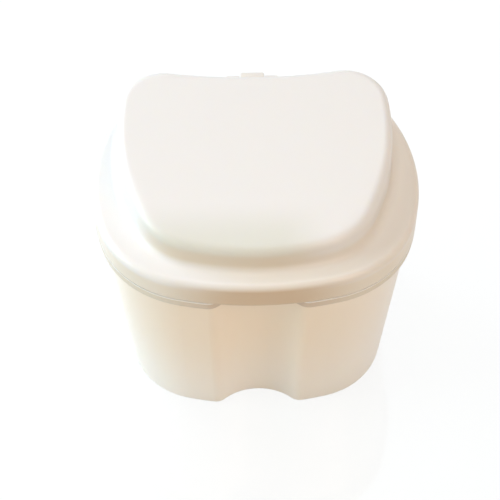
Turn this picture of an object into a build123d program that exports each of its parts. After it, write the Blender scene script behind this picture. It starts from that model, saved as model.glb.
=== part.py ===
"""Denture case: a drafted, fluted cup with a hinged lid, a strainer basket and its folding bail.

Seen from above, the case has a kidney outline of tangent arcs. Every section of the cup, the lid and
the basket is that outline moved inward, so the pieces nest with the clearances named below.

While it is modelled, y = 0 is the widest line of the case, -Y is the front and z = 0 is the table.
The last section moves every piece to the final frame, whose origin is the middle of the footprint
of the closed case, on the table.
"""
from build123d import *
from math import asin, cos, radians, sin, sqrt, tan
import os

# ---------------------------------------------------------------------------------------------
# Driving dimensions, in millimetres and degrees
# ---------------------------------------------------------------------------------------------
# Outline of the case at the lid skirt. The reaches are measured from the widest line.
CASE_WIDTH = 85.0
FRONT_REACH = 37.3
REAR_REACH = 37.7
FRONT_R = 85.0
FRONT_CORNER_R = 27.0
SIDE_R = 53.0
REAR_CORNER_R = 19.5
REAR_R = 69.0

# Cup
BODY_HEIGHT = 49.9          # table to the underside of the rim flange
BODY_DRAFT = 4.9            # lean of the walls, wider at the top
CUP_WALL = 1.9
CUP_FLOOR = 2.0
FLOOR_CORNER_R = 1.3        # inside, between the floor and the walls
FOOT_EDGE_R = 0.8           # outside, round the standing edge
FOOT_WIDTH = 3.2            # flat rim that stands on the table
FOOT_RECESS = 0.8           # how far the floor is raised inside that rim
FLANGE_THICK = 2.2
FLANGE_OVERHANG = 1.4       # flange beyond the wall below it
NECK_HEIGHT = 4.2           # spigot above the flange, inside the lid skirt

# Finger flute down the front of the cup, between two rounded ridges
FLUTE_DEPTH = 5.1
FLUTE_CREST_SPACING = 24.6  # between the crests of the ridges, where the wall meets the flange
RIDGE_R = 3.7

# Lid
SKIRT_HEIGHT = 6.5
SKIRT_WALL = 1.4
DECK_THICK = 1.6
DECK_EDGE_R = 1.8
LID_GAP = 0.5               # skirt to neck, all round
FLANGE_GAP = 0.2            # skirt to flange

# Raised kidney of the lid; its top climbs towards the rear
KIDNEY_MARGIN = 6.5         # deck on each side of it, at the widest lines of both
KIDNEY_WIDE_Y = 9.7         # its widest line, behind that of the case
KIDNEY_FRONT_REACH = 40.9
KIDNEY_REAR_REACH = 15.6
KIDNEY_FRONT_R = 64.0
KIDNEY_FRONT_CORNER_R = 18.2
KIDNEY_SIDE_R = 65.0
KIDNEY_REAR_CORNER_R = 11.7
KIDNEY_HOLLOW_R = 140.0     # concave arc across the rear
KIDNEY_HEIGHT = 10.3        # above the deck, at the widest line of the case
KIDNEY_TILT = 7.6
KIDNEY_DRAFT = 2.3
KIDNEY_TOP_R = 2.2
KIDNEY_BASE_R = 2.4
KIDNEY_WALL = 1.6

# Hinge at the rear: two ears on the cup, one knuckle on the lid, one pin
PIN_R = 1.0
PIN_RUNNING_GAP = 0.05      # radial, pin to knuckle
PIN_CHAMFER = 0.2
AXIS_OFFSET = 2.9           # behind the rearmost point of the skirt
AXIS_RISE = 0.4             # above the lower edge of the skirt
KNUCKLE_WIDTH = 6.6
KNUCKLE_R = 2.6
KNUCKLE_RISE = 4.8          # top of the knuckle above the pin
KNUCKLE_CORNER_R = 2.8      # rear corners, seen from above
KNUCKLE_ROLL_R = 3.2        # upper rear edge, seen from the side
EAR_WIDTH = 3.5
EAR_R = 2.2
EAR_DEPTH = 7.0             # how far the gusset of an ear reaches down the wall
EAR_TURN = 40.0             # from the lowest point of the eye to the foot of the gusset
EAR_GAP = 0.3               # ear to knuckle
LID_OPENING = 115.0         # where the heels of the ears hold the open lid
HEEL_LENGTH = 1.4
HEEL_GAP = 0.1              # heel to the skirt of the open lid

# Strainer basket
BASKET_GAP = 0.5            # rim to cup wall
BASKET_RIM_HEIGHT = 43.0    # table to the top of the rim
BASKET_RIM_WIDTH = 1.3      # rim beyond the basket wall
BASKET_RIM_THICK = 1.8
BASKET_WALL = 1.3
BASKET_FLOOR = 1.4
BASKET_EDGE_R = 1.2         # outside, round the floor
BASKET_FOOT_HEIGHT = 2.6
BASKET_FOOT_R = 2.4
BASKET_FOOT_SIDE = 16.5     # middle of a foot, inside the sides of the case
BASKET_FOOT_FRONT = 25.0    # and behind its front
BASKET_FOOT_REAR = 18.7     # and before its rear

# Drain slots
SLOT_WIDTH = 2.4
FLOOR_SLOT_PITCH = 6.5
FLOOR_SLOT_COUNT = 7
FLOOR_SLOT_MARGIN = 6.0     # solid border left round the floor slots
WALL_SLOT_PITCH = 15.0      # degrees, seen from the middle of the basket
WALL_SLOT_COUNT = 9         # on each side of the basket
WALL_SLOT_LOW = 7.0         # lower end, above the basket floor
WALL_SLOT_HIGH = 8.0        # upper end, below the basket rim

# Bail of the basket, folded forward so that its grip lies over the rim
BAIL_LENGTH = 20.0          # pivot line to the middle of the grip
BAIL_THICK = 2.4
BAIL_BEND_R = 16.0
BAIL_EDGE_R = 0.6
BAIL_GAP = 0.3              # folded bail to the top of the rim
BAIL_SEAT = 0.8             # middle of the grip, in front of the inside of the rim
BAIL_PIVOT_R = 1.0
BAIL_RUNNING_GAP = 0.08
LUG_R = 2.6
LUG_THICK = 1.8
LUG_GAP = 0.3               # lug to bail

# ---------------------------------------------------------------------------------------------
# Levels and places that follow from them
# ---------------------------------------------------------------------------------------------
flange_top = BODY_HEIGHT + FLANGE_THICK
neck_top = flange_top + NECK_HEIGHT
neck_inset = SKIRT_WALL + LID_GAP
bore_inset = FLANGE_OVERHANG + CUP_WALL
floor_top = FOOT_RECESS + CUP_FLOOR

skirt_bottom = flange_top + FLANGE_GAP
deck_top = skirt_bottom + SKIRT_HEIGHT

axis_y = REAR_REACH + AXIS_OFFSET
axis_z = skirt_bottom + AXIS_RISE
ear_inner_x = KNUCKLE_WIDTH / 2 + EAR_GAP
ear_outer_x = ear_inner_x + EAR_WIDTH
knuckle_root = REAR_REACH - SKIRT_WALL / 2
knuckle_rear = axis_y + KNUCKLE_R
knuckle_top = axis_z + KNUCKLE_RISE

rim_skin = CUP_WALL + BASKET_GAP
basket_skin = rim_skin + BASKET_RIM_WIDTH
basket_bottom = floor_top + BASKET_FOOT_HEIGHT
basket_floor_top = basket_bottom + BASKET_FLOOR
rim_low = BASKET_RIM_HEIGHT - BASKET_RIM_THICK
bail_z = BASKET_RIM_HEIGHT + BAIL_GAP + BAIL_THICK / 2
middle_y = (knuckle_rear - FRONT_REACH) / 2


# ---------------------------------------------------------------------------------------------
# Outlines: chains of tangent circles (centre, signed radius), a negative radius being concave
# ---------------------------------------------------------------------------------------------
def meeting_circle(a, b, radius):
    """The circle of a given signed radius that is tangent to circles a and b, on the +X side."""
    (centre_a, radius_a), (centre_b, radius_b) = a, b
    reach_a, reach_b = abs(radius_a - radius), abs(radius_b - radius)
    line = centre_b - centre_a
    along = (reach_a**2 - reach_b**2 + line.length**2) / (2 * line.length)
    across = sqrt(reach_a**2 - along**2)
    unit = line.normalized()
    sides = [centre_a + unit * along + Vector(-unit.Y, unit.X) * (s * across) for s in (-1, 1)]
    return max(sides, key=lambda point: point.X), radius


def chain_face(circles, inset=0.0):
    """The face inside a chain of circles, listed from front to rear and mirrored in X = 0.

    Moving the outline inward by an inset shortens each convex radius and lengthens each concave one.
    """
    normals = [Vector(0, -1)]
    for (centre_a, radius_a), (centre_b, radius_b) in zip(circles, circles[1:]):
        normals.append((centre_a - centre_b) * (1 / (radius_b - radius_a)))
    normals.append(Vector(0, 1))
    right = []
    for (centre, radius), start, end in zip(circles, normals, normals[1:]):
        middle = (start + end).normalized()
        right.append([centre + normal * (radius - inset) for normal in (start, middle, end)])
    left = [[Vector(-p.X, p.Y) for p in reversed(arc)] for arc in reversed(right)]
    front = [left[-1][0], right[0][0], right[0][2]]
    rear = [right[-1][0], right[-1][2], left[0][2]]
    arcs = [front, *right[1:-1], rear, *left[1:-1]]
    return Face(Wire([ThreePointArc(*arc).edge() for arc in arcs]))


def case_circles():
    """The case outline at the lid skirt: front, front corner, side, rear corner, rear."""
    front = (Vector(0, FRONT_R - FRONT_REACH), FRONT_R)
    side = (Vector(CASE_WIDTH / 2 - SIDE_R, 0), SIDE_R)
    rear = (Vector(0, REAR_REACH - REAR_R), REAR_R)
    front_corner = meeting_circle(front, side, FRONT_CORNER_R)
    rear_corner = meeting_circle(side, rear, REAR_CORNER_R)
    return [front, front_corner, side, rear_corner, rear]


def kidney_circles():
    """The outline of the raised kidney where its wall meets the deck; its rear arc is concave."""
    front = (Vector(0, KIDNEY_WIDE_Y - KIDNEY_FRONT_REACH + KIDNEY_FRONT_R), KIDNEY_FRONT_R)
    side = (Vector(CASE_WIDTH / 2 - KIDNEY_MARGIN - KIDNEY_SIDE_R, KIDNEY_WIDE_Y), KIDNEY_SIDE_R)
    rear = (Vector(0, KIDNEY_WIDE_Y + KIDNEY_REAR_REACH + KIDNEY_HOLLOW_R), -KIDNEY_HOLLOW_R)
    front_corner = meeting_circle(front, side, KIDNEY_FRONT_CORNER_R)
    rear_corner = meeting_circle(side, rear, KIDNEY_REAR_CORNER_R)
    return [front, front_corner, side, rear_corner, rear]


def flute_y(inset):
    """The deepest line of the finger flute in the case outline moved inward by an inset."""
    return inset + FLUTE_DEPTH - FRONT_REACH


def half_width(inset, y):
    """Half the width of the case outline moved inward by an inset, where its side arcs run."""
    return CASE_WIDTH / 2 - SIDE_R + sqrt((SIDE_R - inset) ** 2 - y**2)


def fluted_section(inset):
    """The case outline moved inward by an inset, with the finger flute let into its front.

    The flute and its ridges keep their radii and only move back with the front of the outline.
    """
    front, *others = case_circles()
    turn = asin(FLUTE_CREST_SPACING / 2 / (FRONT_R - FLANGE_OVERHANG - RIDGE_R))
    ridge = front[0] + Vector(sin(turn), -cos(turn)) * (FRONT_R - inset - RIDGE_R)
    rise = ridge.Y - flute_y(inset)
    flute_r = (ridge.X**2 + rise**2 - RIDGE_R**2) / (2 * (RIDGE_R - rise))
    flute = (Vector(0, flute_y(inset) - flute_r), inset - flute_r)
    return chain_face([flute, (ridge, RIDGE_R + inset), front, *others], inset)


def wall_inset(z):
    """How far the outer wall of the cup stands inside the case outline at a height."""
    return FLANGE_OVERHANG + (BODY_HEIGHT - z) * tan(radians(BODY_DRAFT))


# ---------------------------------------------------------------------------------------------
# Solids from outlines
# ---------------------------------------------------------------------------------------------
def at(face, z):
    """A face raised to a height."""
    return Pos(0, 0, z) * face


def prism(face, low, high):
    """A straight solid between two heights."""
    return extrude(at(face, low), high - low)


def drafted(low, high, skin=0.0):
    """A solid between two heights that stands a constant distance inside the wall of the cup."""
    return loft([at(fluted_section(wall_inset(z) + skin), z) for z in (low, high)], ruled=True)


def along_x(profile, low, high):
    """Extrude a profile drawn in Y and Z between two places along X."""
    return Pos(low, 0, 0) * extrude(Plane.YZ * profile, high - low)


def rod_x(y, z, radius, low, high):
    """A round rod between two places along X."""
    return along_x(Pos(y, z) * Circle(radius), low, high)


def edges_on(shape, plane):
    """The edges of a shape that lie in a plane."""
    return [edge for edge in shape.edges()
            if all(abs(plane.to_local_coords(edge @ place).Z) < 1e-3 for place in (0, 0.3, 0.7))]


def level(z):
    """The horizontal plane at a height."""
    return Plane.XY.offset(z)


# ---------------------------------------------------------------------------------------------
# Cup
# ---------------------------------------------------------------------------------------------
def ear_profile():
    """The side of a hinge ear: a round eye on a gusset that runs down the wall, with a stop heel.

    The heel is flat and faces the skirt of the lid when the lid stands open.
    """
    wall_y = REAR_REACH - bore_inset + CUP_WALL / 2
    gusset = Polygon((wall_y, flange_top), (wall_y, flange_top - EAR_DEPTH),
                     (axis_y + EAR_R * sin(radians(EAR_TURN)), axis_z - EAR_R * cos(radians(EAR_TURN))),
                     (axis_y, flange_top), align=None)
    heel = Rectangle(HEEL_LENGTH, AXIS_OFFSET - HEEL_GAP, align=(Align.MIN, Align.MIN))
    heel = Rot(0, 0, 90 - LID_OPENING) * heel
    return gusset + Pos(axis_y, axis_z) * (Circle(EAR_R) + heel)


def make_cup():
    body = drafted(0, BODY_HEIGHT)
    body = fillet(edges_on(body, level(0)), FOOT_EDGE_R)
    body += prism(fluted_section(0), BODY_HEIGHT, flange_top)
    body += prism(fluted_section(neck_inset), BODY_HEIGHT, neck_top)
    for low in (ear_inner_x, -ear_outer_x):
        body += along_x(ear_profile(), low, low + EAR_WIDTH)
    bore = drafted(floor_top, BODY_HEIGHT, CUP_WALL)
    bore = fillet(edges_on(bore, level(floor_top)), FLOOR_CORNER_R)
    bore += prism(fluted_section(bore_inset), BODY_HEIGHT, neck_top)
    recess = prism(fluted_section(wall_inset(0) + FOOT_WIDTH), 0, FOOT_RECESS)
    pin_hole = rod_x(axis_y, axis_z, PIN_R, -ear_outer_x, ear_outer_x)
    return body - bore - recess - pin_hole


def make_hinge_pin():
    pin = rod_x(axis_y, axis_z, PIN_R, -ear_outer_x, ear_outer_x)
    return chamfer(pin.edges().filter_by(GeomType.CIRCLE), PIN_CHAMFER)


# ---------------------------------------------------------------------------------------------
# Lid
# ---------------------------------------------------------------------------------------------
def kidney_slope(skin):
    """The inclined plane of the top of the raised kidney, moved into the lid by a skin."""
    return level(deck_top + KIDNEY_HEIGHT).rotated((KIDNEY_TILT, 0, 0)).offset(-skin)


def lid_form(skirt_skin, deck_skin, kidney_skin, edge_r, base_r, top_r):
    """Skirt, deck and raised kidney as one solid, each moved inward by the skin given for it."""
    deck = deck_top - deck_skin
    slope = kidney_slope(kidney_skin)
    lean = tan(radians(KIDNEY_DRAFT))
    heights = (deck, deck_top + 2 * KIDNEY_HEIGHT)
    sections = [at(chain_face(kidney_circles(), kidney_skin + (z - deck_top) * lean), z) for z in heights]
    boss = split(loft(sections, ruled=True), bisect_by=slope, keep=Keep.BOTTOM)
    form = prism(chain_face(case_circles(), skirt_skin), skirt_bottom, deck) + boss
    form = fillet([edge for edge in edges_on(form, level(deck)) if not edge.is_interior], edge_r)
    form = fillet([edge for edge in edges_on(form, level(deck)) if edge.is_interior], base_r)
    return fillet(edges_on(form, slope), top_r)


def make_knuckle():
    """A tongue that leaves the rear of the skirt and rolls over the pin."""
    middle, reach = (knuckle_root + knuckle_rear) / 2, knuckle_rear - knuckle_root
    side = Pos(middle, axis_z + KNUCKLE_RISE / 2) * Rectangle(reach, KNUCKLE_RISE)
    side = fillet(side.vertices().sort_by(lambda v: v.X + v.Y)[-1], KNUCKLE_ROLL_R)
    side += Pos(axis_y, axis_z) * Circle(KNUCKLE_R)
    plan = Pos(0, middle) * Rectangle(KNUCKLE_WIDTH, reach)
    plan = fillet(plan.vertices().group_by(Axis.Y)[-1], KNUCKLE_CORNER_R)
    half = KNUCKLE_WIDTH / 2
    return along_x(side, -half, half) & prism(plan, axis_z - KNUCKLE_R, knuckle_top)


def make_lid():
    form = lid_form(0, 0, 0, DECK_EDGE_R, KIDNEY_BASE_R, KIDNEY_TOP_R) + make_knuckle()
    hollow = lid_form(SKIRT_WALL, DECK_THICK, KIDNEY_WALL,
                      DECK_EDGE_R - SKIRT_WALL, KIDNEY_BASE_R + KIDNEY_WALL, KIDNEY_TOP_R - KIDNEY_WALL)
    bore = rod_x(axis_y, axis_z, PIN_R + PIN_RUNNING_GAP, -ear_inner_x, ear_inner_x)
    return form - hollow - bore


# ---------------------------------------------------------------------------------------------
# Strainer basket and its bail
# ---------------------------------------------------------------------------------------------
inner_rim_inset = wall_inset(BASKET_RIM_HEIGHT) + basket_skin + BASKET_WALL
bail_y = flute_y(inner_rim_inset) + BAIL_LENGTH - BAIL_SEAT
lug_x = half_width(inner_rim_inset, bail_y)
bail_half = lug_x - LUG_GAP - BAIL_THICK / 2


def floor_slots():
    """Slots from front to rear through the basket floor, ending short of its walls."""
    border = fluted_section(wall_inset(basket_bottom) + basket_skin + FLOOR_SLOT_MARGIN)
    slots = []
    for place in range(FLOOR_SLOT_COUNT):
        x = (place - (FLOOR_SLOT_COUNT - 1) / 2) * FLOOR_SLOT_PITCH
        span = (border & Pos(x, 0) * Rectangle(SLOT_WIDTH, 2 * CASE_WIDTH)).bounding_box()
        slot = SlotOverall(span.size.Y, SLOT_WIDTH, rotation=90)
        slots.append(prism(Pos(x, span.center().Y) * slot, basket_bottom, basket_floor_top))
    return slots


def wall_slots():
    """Upright slots through the sides and the rear of the basket wall."""
    low, high = basket_floor_top + WALL_SLOT_LOW, rim_low - WALL_SLOT_HIGH
    slots = []
    for place in range(-WALL_SLOT_COUNT, WALL_SLOT_COUNT):
        turn = (place + 0.5) * WALL_SLOT_PITCH
        slot = extrude(Plane.XZ * SlotOverall(high - low, SLOT_WIDTH, rotation=90), -CASE_WIDTH / 2)
        slots.append(Rot(0, 0, turn) * Pos(0, CASE_WIDTH / 4, (low + high) / 2) * slot)
    return slots


def make_lug():
    """The ear on the rim, on the +X side, that holds a pivot of the bail."""
    base = Pos(bail_y, (rim_low + bail_z) / 2) * Rectangle(2 * LUG_R, bail_z - rim_low)
    return along_x(base + Pos(bail_y, bail_z) * Circle(LUG_R), lug_x, lug_x + LUG_THICK)


def make_basket():
    basket = drafted(basket_bottom, BASKET_RIM_HEIGHT, basket_skin)
    basket = fillet(edges_on(basket, level(basket_bottom)), BASKET_EDGE_R)
    basket += drafted(rim_low, BASKET_RIM_HEIGHT, rim_skin)
    basket += make_lug()
    basket += mirror(make_lug(), Plane.YZ)
    for x in (-1, 1):
        for y in (BASKET_FOOT_FRONT - FRONT_REACH, REAR_REACH - BASKET_FOOT_REAR):
            foot = Pos(x * (CASE_WIDTH / 2 - BASKET_FOOT_SIDE), y) * Circle(BASKET_FOOT_R)
            basket += prism(foot, floor_top, basket_bottom)
    basket -= drafted(basket_floor_top, BASKET_RIM_HEIGHT, basket_skin + BASKET_WALL)
    pivot_holes = rod_x(bail_y, bail_z, BAIL_PIVOT_R + BAIL_RUNNING_GAP, -CASE_WIDTH / 2, CASE_WIDTH / 2)
    return basket - [*floor_slots(), *wall_slots(), pivot_holes]


def bail_arch(grow):
    """The area inside the arch of the bail, seen from above, grown from its middle line."""
    half, reach = bail_half + grow, BAIL_LENGTH + grow
    path = FilletPolyline((half, 0), (half, -reach), (-half, -reach), (-half, 0), radius=BAIL_BEND_R + grow)
    return make_face(path + Line((-half, 0), (half, 0)))


def make_bail():
    arch = bail_arch(BAIL_THICK / 2) - bail_arch(-BAIL_THICK / 2)
    bail = Pos(0, bail_y) * prism(arch, bail_z - BAIL_THICK / 2, bail_z + BAIL_THICK / 2)
    long_edges = [edge for edge in bail.edges() if edge.center().Y < bail_y - 1e-3]
    bail = fillet([edge for edge in long_edges if abs(edge.center().Z - bail_z) > 1e-3], BAIL_EDGE_R)
    for side in (-1, 1):
        leg = sorted(side * (bail_half + s * BAIL_THICK / 2) for s in (-1, 1))
        stud = sorted(side * x for x in (bail_half, lug_x + LUG_THICK))
        bail += rod_x(bail_y, bail_z, BAIL_THICK / 2, *leg)
        bail += rod_x(bail_y, bail_z, BAIL_PIVOT_R, *stud)
    return bail


# ---------------------------------------------------------------------------------------------
# The pieces in the final frame
# ---------------------------------------------------------------------------------------------
pieces = {
    "cup": make_cup(),
    "hinge_pin": make_hinge_pin(),
    "lid": make_lid(),
    "strainer_basket": make_basket(),
    "basket_handle": make_bail(),
}
os.makedirs("parts", exist_ok=True)
for name, piece in pieces.items():
    export_step(Pos(0, -middle_y, 0) * piece, f"parts/{name}.step")
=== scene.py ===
"""Looks of the denture case: finishes, floor, soft studio light and the camera, round the CAD frame."""
import math

import bpy
from mathutils import Matrix, Vector

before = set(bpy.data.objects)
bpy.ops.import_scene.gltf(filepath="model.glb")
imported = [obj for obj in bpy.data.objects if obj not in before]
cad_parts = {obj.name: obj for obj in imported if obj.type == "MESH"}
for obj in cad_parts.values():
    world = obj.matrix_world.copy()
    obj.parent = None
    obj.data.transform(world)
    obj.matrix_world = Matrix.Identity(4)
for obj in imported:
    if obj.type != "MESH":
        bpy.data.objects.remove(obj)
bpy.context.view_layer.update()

MM = 0.001

# Camera: aimed at a point inside the case, from above its front
IMAGE_SIDE = 500
SENSOR_WIDTH = 36.0
FOCAL_PIXELS = 1365.8
CAMERA_ELEVATION = 49.96
CAMERA_AZIMUTH = -1.0
CAMERA_ROLL = -0.24
CAMERA_DISTANCE = 377.9 * MM
CAMERA_TARGET = Vector((-1.53, -3.16, 29.50)) * MM
CAMERA_CLIP_START = 10 * MM

# Room: the lights aim at a point inside the case, and the floor reaches far past the camera's view
LIGHT_TARGET = Vector((0, 0, 40)) * MM
FLOOR_HALF_SIDE = 1500 * MM
FLOOR_GREY = 0.16           # where it is seen, under a pale glow
FLOOR_MATT_GREY = 0.86      # where it lights the case

# Plastic: a cloudy tint and gloss, a fine mould grain, and edges that shade round
CLOUD_SCALE = 22.0
CLOUD_DETAIL = 3.0
CLOUD_SHADE = 0.985
GRAIN_SCALE = 900.0
GRAIN_DETAIL = 4.0
GRAIN_STRENGTH = 0.04
GRAIN_HEIGHT = 0.2 * MM
ROUGHNESS = 0.35
ROUGHNESS_SPREAD = 0.05
EDGE_SAMPLES = 8
NARROW_EDGE = 0.5 * MM
WIDE_EDGE = 3.5 * MM


def span(none_at, full_at):
    """The two ends of a fade, given in millimetres: where it is at nothing, and where it is full."""
    return none_at * MM, full_at * MM


# Going up the case, where the forms begin and end that have painted shade or light, or softer edges, of
# their own
FLANGE_BEGINS = span(49.5, 49.9)
FLANGE_EDGE_BEGINS = span(51.5, 51.9)
FLANGE_ENDS = span(52.4, 52.2)
SKIRT_ENDS = span(57.5, 56.0)
SKIRT_FRONT_ENDS = span(58.5, 57.0)
DECK_BEGINS = span(56.0, 57.5)
DECK_ENDS = span(62.5, 60.5)
KIDNEY_BEGINS = span(58.5, 60.5)
KIDNEY_WALL_BEGINS = span(59.0, 60.5)
KIDNEY_WALL_ENDS = span(65.5, 63.0)
BROW_BEGINS = span(62.0, 65.0)

# Along Y and X, where a form's painted shade or light, or its softer edges, come in towards the front or the
# left
FRONT_HALF = span(0.0, -18.0)
KIDNEY_FRONT = span(-18.0, -31.0)
KIDNEY_LEFT = span(20.0, 4.0)
DECK_LEFT = span(2.0, -18.0)

# Round a point on the front of the skirt or the cup, how far the painted shade reaches
SKIRT_FRONT_POINT = Vector((1.0, -40.5, 53.0)) * MM
SKIRT_FRONT_REACH = span(28.0, 6.0)
CUP_FRONT_POINT = Vector((-4.0, -34.0, 46.0)) * MM
CUP_FRONT_REACH = span(55.0, 10.0)

# How far out a face lies along its own normal, below 0 where it looks inward
LOOKS_OUT = span(-5.0, 5.0)


def add_camera():
    """The camera at the photograph's viewing angle."""
    azimuth, elevation = math.radians(CAMERA_AZIMUTH), math.radians(CAMERA_ELEVATION)
    back = Vector((math.sin(azimuth) * math.cos(elevation),
                   -math.cos(azimuth) * math.cos(elevation), math.sin(elevation)))
    right = Vector((0, 0, 1)).cross(back).normalized()
    up = back.cross(right)
    axes = Matrix((right, up, back)).transposed().to_4x4()
    data = bpy.data.cameras.new("camera")
    data.sensor_width = SENSOR_WIDTH
    data.lens = FOCAL_PIXELS / IMAGE_SIDE * SENSOR_WIDTH
    data.clip_start = CAMERA_CLIP_START
    camera = bpy.data.objects.new("camera", data)
    bpy.context.scene.collection.objects.link(camera)
    place = Matrix.Translation(CAMERA_TARGET + back * CAMERA_DISTANCE)
    camera.matrix_world = place @ axes @ Matrix.Rotation(math.radians(CAMERA_ROLL), 4, "Z")
    bpy.context.scene.camera = camera


def add_area_light(name, place, size, watts, colour):
    """A round soft light, aimed at the case."""
    data = bpy.data.lights.new(name, "AREA")
    data.shape = "DISK"
    data.size = size
    data.energy = watts
    data.color = colour
    lamp = bpy.data.objects.new(name, data)
    bpy.context.scene.collection.objects.link(lamp)
    lamp.location = place
    lamp.rotation_euler = (LIGHT_TARGET - Vector(place)).to_track_quat("-Z", "Y").to_euler()


def fill(tree, target, sockets):
    """Links each socket of a node to the output given for it, or sets it to the value given."""
    for socket, value in sockets.items():
        if isinstance(value, bpy.types.NodeSocket):
            tree.links.new(value, target.inputs[socket])
        else:
            target.inputs[socket].default_value = value


def node(tree, kind, sockets=None, **settings):
    """Adds a node with these settings and these sockets filled."""
    made = tree.nodes.new(kind)
    for setting, value in settings.items():
        setattr(made, setting, value)
    fill(tree, made, sockets or {})
    return made


def opaque(colour, shade=1.0):
    """A colour as a socket takes it, darker where the shade is under 1."""
    return (*(shade * part for part in colour), 1)


def mixed(tree, mask, below, above):
    """A colour, with another laid over it through a mask."""
    sockets = {"Factor": mask, "A": below, "B": above}
    return node(tree, "ShaderNodeMix", sockets, data_type="RGBA").outputs["Result"]


def fade(tree, value, ends):
    """A smooth mask: 0 where a value is at the first of the ends, and 1 where it is at the second."""
    sockets = {"Value": value, "From Min": ends[0], "From Max": ends[1]}
    return node(tree, "ShaderNodeMapRange", sockets, interpolation_type="SMOOTHSTEP").outputs["Result"]


def along(tree, place, axis, ends):
    """A smooth mask by the place along an axis."""
    axes = node(tree, "ShaderNodeSeparateXYZ", {"Vector": place})
    return fade(tree, axes.outputs[axis], ends)


def around(tree, place, point, ends):
    """A smooth mask by the distance from a point."""
    reach = node(tree, "ShaderNodeVectorMath", {0: place, 1: point}, operation="DISTANCE")
    return fade(tree, reach.outputs["Value"], ends)


def outward(tree, place):
    """A mask of the outer faces of a wall that goes round the case."""
    normal = node(tree, "ShaderNodeTexCoord").outputs["Normal"]
    facing = node(tree, "ShaderNodeVectorMath", {0: place, 1: normal}, operation="DOT_PRODUCT")
    return fade(tree, facing.outputs["Value"], LOOKS_OUT)


def overlap(tree, first, *others):
    """What all of the masks cover."""
    for other in others:
        product = node(tree, "ShaderNodeMath", {0: first, 1: other}, operation="MULTIPLY")
        first = product.outputs["Value"]
    return first


def cup_front_mask(tree, place):
    """The front of the cup, most of all under the flange."""
    return around(tree, place, CUP_FRONT_POINT, CUP_FRONT_REACH)


def flange_mask(tree, place):
    """The outside of the flange of the cup."""
    return overlap(tree, along(tree, place, "Z", FLANGE_BEGINS), along(tree, place, "Z", FLANGE_ENDS),
                   outward(tree, place))


def flange_front_mask(tree, place):
    """The flange where it meets the flute."""
    return overlap(tree, skirt_front_mask(tree, place), flange_mask(tree, place))


def flange_edge_mask(tree, place):
    """The upper edge of the flange."""
    return overlap(tree, along(tree, place, "Z", FLANGE_EDGE_BEGINS), flange_mask(tree, place))


def skirt_mask(tree, place):
    """The skirt of the lid."""
    return along(tree, place, "Z", SKIRT_ENDS)


def skirt_front_mask(tree, place):
    """The skirt of the lid where it crosses the flute."""
    return overlap(tree, around(tree, place, SKIRT_FRONT_POINT, SKIRT_FRONT_REACH),
                   along(tree, place, "Z", SKIRT_FRONT_ENDS))


def deck_mask(tree, place):
    """The flat deck of the lid, with its rounded edge and the foot of the raised kidney."""
    return overlap(tree, along(tree, place, "Z", DECK_BEGINS), along(tree, place, "Z", DECK_ENDS))


def deck_left_mask(tree, place):
    """The left half of the deck."""
    return overlap(tree, deck_mask(tree, place), along(tree, place, "X", DECK_LEFT))


def kidney_front_half_mask(tree, place):
    """The front half of the raised kidney."""
    return overlap(tree, along(tree, place, "Y", FRONT_HALF), along(tree, place, "Z", KIDNEY_BEGINS))


def kidney_front_mask(tree, place):
    """The front of the lid at all its heights, but not on the right."""
    return overlap(tree, along(tree, place, "Y", KIDNEY_FRONT), along(tree, place, "X", KIDNEY_LEFT))


def kidney_wall_mask(tree, place):
    """The front wall of the raised kidney."""
    return overlap(tree, kidney_front_mask(tree, place), along(tree, place, "Z", KIDNEY_WALL_BEGINS),
                   along(tree, place, "Z", KIDNEY_WALL_ENDS))


def brow_mask(tree, place):
    """The front of the top face of the raised kidney."""
    return overlap(tree, kidney_front_mask(tree, place), along(tree, place, "Z", BROW_BEGINS))


def soft_edges(tree, place, wide_mask):
    """The normal of the surface with its edges rounded, more where the mask says."""
    radius = NARROW_EDGE
    if wide_mask:
        sockets = {"Value": wide_mask(tree, place), "To Min": NARROW_EDGE, "To Max": WIDE_EDGE}
        radius = node(tree, "ShaderNodeMapRange", sockets).outputs["Result"]
    return node(tree, "ShaderNodeBevel", {"Radius": radius}, samples=EDGE_SAMPLES).outputs["Normal"]


def mould_grain(tree, place, normal):
    """The normal of the surface with the fine texture of the mould."""
    sockets = {"Vector": place, "Scale": GRAIN_SCALE, "Detail": GRAIN_DETAIL}
    grain = node(tree, "ShaderNodeTexNoise", sockets).outputs["Fac"]
    sockets = {"Height": grain, "Strength": GRAIN_STRENGTH, "Distance": GRAIN_HEIGHT, "Normal": normal}
    return node(tree, "ShaderNodeBump", sockets).outputs["Normal"]


def moulded_plastic(name, colour, painted_light_and_shade=(), wide_mask=None):
    """Moulded plastic: a faint cloudy tint, fine mould texture and some light under the skin.

    Each of these painted shades and highlights is a mask and the colour painted on through it, over those
    before it.
    The edges are softer where the wide mask is.
    """
    material = bpy.data.materials.new(name)
    material.use_nodes = True
    tree = material.node_tree
    place = node(tree, "ShaderNodeTexCoord").outputs["Object"]
    sockets = {"Vector": place, "Scale": CLOUD_SCALE, "Detail": CLOUD_DETAIL}
    cloud = node(tree, "ShaderNodeTexNoise", sockets).outputs["Fac"]
    result = mixed(tree, cloud, opaque(colour, CLOUD_SHADE), opaque(colour))
    # Painted shade and painted light, laid over the plastic's own colour
    for mask, tint in painted_light_and_shade:
        result = mixed(tree, mask(tree, place), result, opaque(tint))
    smoothest, roughest = ROUGHNESS - ROUGHNESS_SPREAD, ROUGHNESS + ROUGHNESS_SPREAD
    sockets = {"Value": cloud, "To Min": smoothest, "To Max": roughest}
    roughness = node(tree, "ShaderNodeMapRange", sockets).outputs["Result"]
    fill(tree, tree.nodes["Principled BSDF"], {
        "Base Color": result,
        "Normal": mould_grain(tree, place, soft_edges(tree, place, wide_mask)),
        "Roughness": roughness,
        "IOR": 1.49,
        "Subsurface Weight": 0.15,
        "Subsurface Radius": (1.0, 0.75, 0.5),
        "Subsurface Scale": 2.5 * MM,
    })
    return material


def paint(object_, material):
    object_.data.materials.clear()
    object_.data.materials.append(material)


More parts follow.
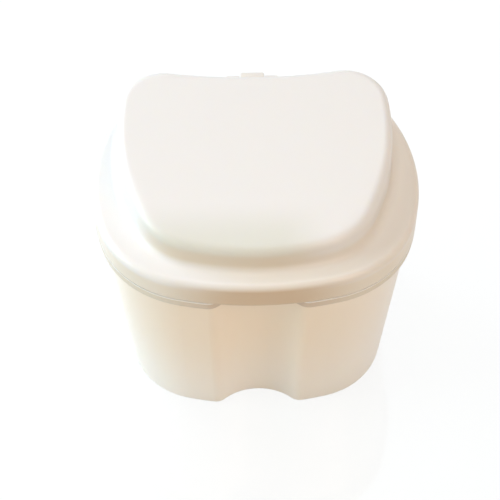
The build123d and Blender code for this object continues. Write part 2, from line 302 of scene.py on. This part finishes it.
def seen_plainly(tree):
    """1 for camera, glossy and transmission rays, which show the white surroundings, and 0 for others."""
    path = node(tree, "ShaderNodeLightPath")
    total = path.outputs["Is Camera Ray"]
    for kind in ("Is Glossy Ray", "Is Transmission Ray"):
        larger = node(tree, "ShaderNodeMath", {0: total, 1: path.outputs[kind]}, operation="MAXIMUM")
        total = larger.outputs["Value"]
    return total


def add_floor():
    """A pale floor: the room sees it as matt white, the camera as near white with a soft shadow."""
    side = FLOOR_HALF_SIDE
    mesh = bpy.data.meshes.new("floor")
    corners = [(-side, -side, 0), (side, -side, 0), (side, side, 0), (-side, side, 0)]
    mesh.from_pydata(corners, [], [(0, 1, 2, 3)])
    floor = bpy.data.objects.new("floor", mesh)
    bpy.context.scene.collection.objects.link(floor)
    material = bpy.data.materials.new("floor")
    material.use_nodes = True
    tree = material.node_tree
    seen = tree.nodes["Principled BSDF"]
    fill(tree, seen, {
        "Base Color": opaque((FLOOR_GREY,) * 3),
        "Roughness": 0.04,
        "IOR": 1.7,
        "Emission Color": opaque((0.96, 0.985, 1.0)),
        "Emission Strength": 0.825,
    })
    matt = node(tree, "ShaderNodeBsdfDiffuse", {"Color": opaque((FLOOR_MATT_GREY,) * 3)})
    sockets = {"Fac": seen_plainly(tree), 1: matt.outputs["BSDF"], 2: seen.outputs["BSDF"]}
    mix = node(tree, "ShaderNodeMixShader", sockets)
    fill(tree, tree.nodes["Material Output"], {"Surface": mix.outputs["Shader"]})
    paint(floor, material)


def add_world():
    """A warm, dim room in its light on the case, and plain white where it is seen or mirrored."""
    world = bpy.data.worlds.new("studio")
    bpy.context.scene.world = world
    world.use_nodes = True
    tree = world.node_tree
    tree.nodes.clear()
    room = node(tree, "ShaderNodeBackground", {"Color": opaque((1.0, 0.85, 0.65)), "Strength": 0.325})
    white = node(tree, "ShaderNodeBackground", {"Color": opaque((1.0, 1.0, 1.0)), "Strength": 1.0})
    sockets = {"Fac": seen_plainly(tree), 1: room.outputs["Background"], 2: white.outputs["Background"]}
    mix = node(tree, "ShaderNodeMixShader", sockets)
    node(tree, "ShaderNodeOutputWorld", {"Surface": mix.outputs["Shader"]})


add_camera()
add_world()
add_floor()
add_area_light("top", place=(0.0, 0.15, 0.95), size=0.6, watts=1.91, colour=(0.94, 0.97, 1.0))
add_area_light("rear_left", place=(-0.55, 0.45, 0.6), size=0.45, watts=2.84, colour=(0.76, 0.82, 1.0))
add_area_light("left", place=(-0.8, -0.05, 0.35), size=0.5, watts=3.68, colour=(0.85, 1.0, 1.0))
add_area_light("front_right", place=(0.5, -0.6, 0.7), size=0.5, watts=3.12, colour=(1.0, 0.77, 0.60))

# Painted shade, not a tone of the plastic: the skirt is painted warmer and darker than the top of the lid,
# most so over the flute; the deck, the front wall of the kidney and the front of its top face a little.
# The left of the deck is painted lighter: painted light.
lid_painted_light_and_shade = [
    (deck_mask, (0.86, 0.83, 0.79)),
    (deck_left_mask, (0.875, 0.88, 0.885)),
    (skirt_mask, (0.84, 0.79, 0.70)),
    (skirt_front_mask, (0.67, 0.535, 0.385)),
    (kidney_wall_mask, (0.78, 0.72, 0.62)),
    (brow_mask, (0.765, 0.785, 0.735)),
]
# Painted shade: the cup is painted warmer and darker under the flange than at its foot, and the outside of
# the flange is painted darker like the skirt, most where it meets the flute. The upper edge of the flange is
# painted lighter: a painted highlight.
cup_painted_light_and_shade = [
    (cup_front_mask, (0.934, 0.815, 0.665)),
    (flange_mask, (0.74, 0.69, 0.59)),
    (flange_front_mask, (0.64, 0.52, 0.41)),
    (flange_edge_mask, (0.96, 0.95, 0.92)),
]
# The lid's and the cup's materials carry the painted shade and light above, over the plastic's own colour
lid_plastic_and_painted_shade = moulded_plastic("lid_plastic_and_painted_shade", (0.88, 0.888, 0.898), lid_painted_light_and_shade,
                             wide_mask=kidney_front_half_mask)
cup_plastic_and_painted_shade = moulded_plastic("cup_plastic_and_painted_shade", (0.95, 0.936, 0.905), cup_painted_light_and_shade)
basket_finish = moulded_plastic("basket_finish", (0.88, 0.88, 0.87))
for name, material in (("cup", cup_plastic_and_painted_shade), ("lid", lid_plastic_and_painted_shade), ("hinge_pin", cup_plastic_and_painted_shade),
                       ("strainer_basket", basket_finish), ("basket_handle", basket_finish)):
    paint(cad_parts[name], material)

scene = bpy.context.scene
scene.view_settings.view_transform = "Standard"
